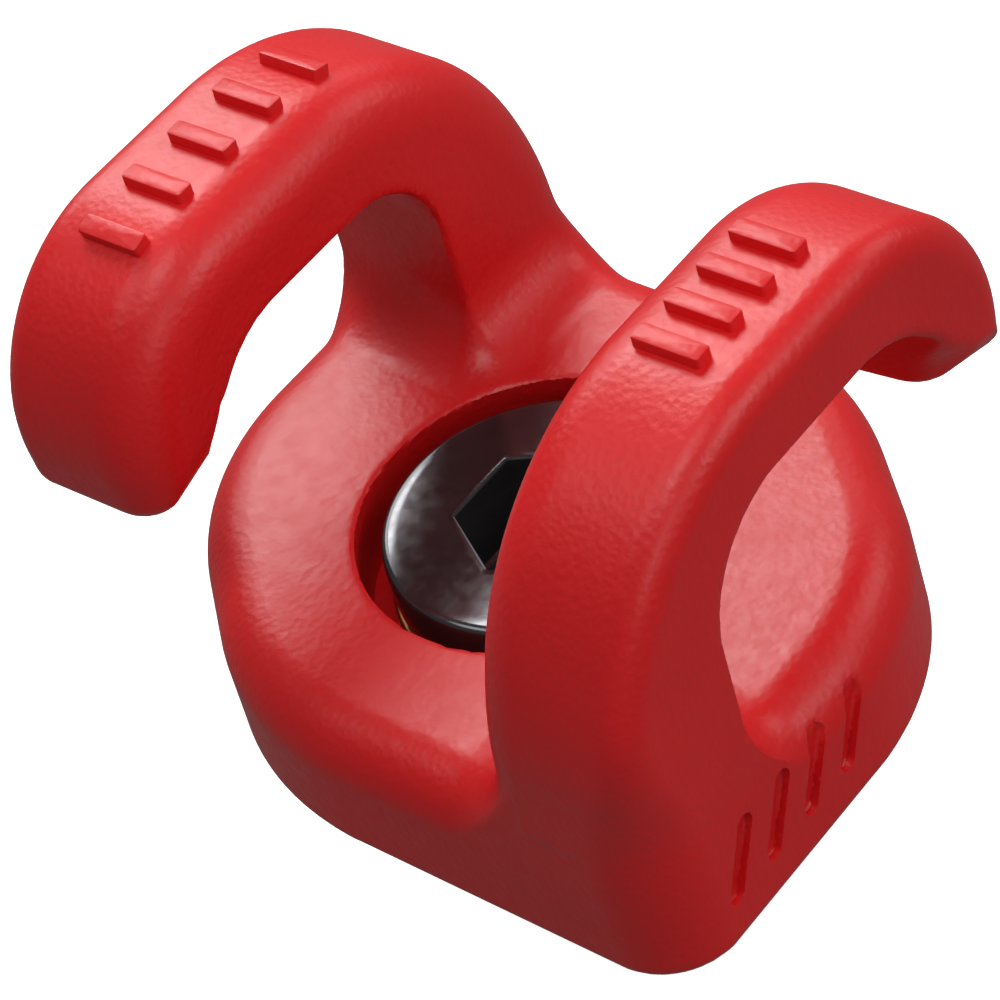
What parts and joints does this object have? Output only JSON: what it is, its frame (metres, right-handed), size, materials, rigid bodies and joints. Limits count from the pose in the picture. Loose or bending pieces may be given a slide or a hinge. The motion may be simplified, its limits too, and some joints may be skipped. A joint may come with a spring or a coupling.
{
  "type": "swivel hoist ring",
  "caption": "Swivel tie-down ring: cast body with two opposed open horns turning on a flush socket-head shoulder screw.",
  "frame": {"origin": "centre of the base washer's underside, on the swivel axis, in the mounting surface", "axes": "+Z along the swivel axis away from the mounting surface; +X the way the tip of the horn on the -Y side points; +Y towards the other horn"},
  "size_m": [0.0456, 0.052, 0.0567],
  "materials": {
    "coated_casting": "satin red powder coat over a cast surface",
    "black_steel": "polished black",
    "bronze": "turned",
    "plain_steel": "ground",
    "spring_steel": "phosphated",
    "seal_rubber": "matt",
    "patch_nylon": "matt"
  },
  "bodies": {
    "anchor": {"shoulder_screw": "black_steel", "thrust_washer": "plain_steel", "base_washer": "plain_steel", "retaining_ring": "spring_steel", "thread_patch": "patch_nylon"},
    "hook": {"hook_body": "coated_casting", "bearing_bush": "bronze", "seal_ring": "seal_rubber"}
  },
  "joints": [
    {"name": "body_swivel", "type": "hinge", "parent": "anchor", "child": "hook", "pos_m": [0, 0, 0.004], "axis": [0, 0, 1], "continuous": true}
  ]
}
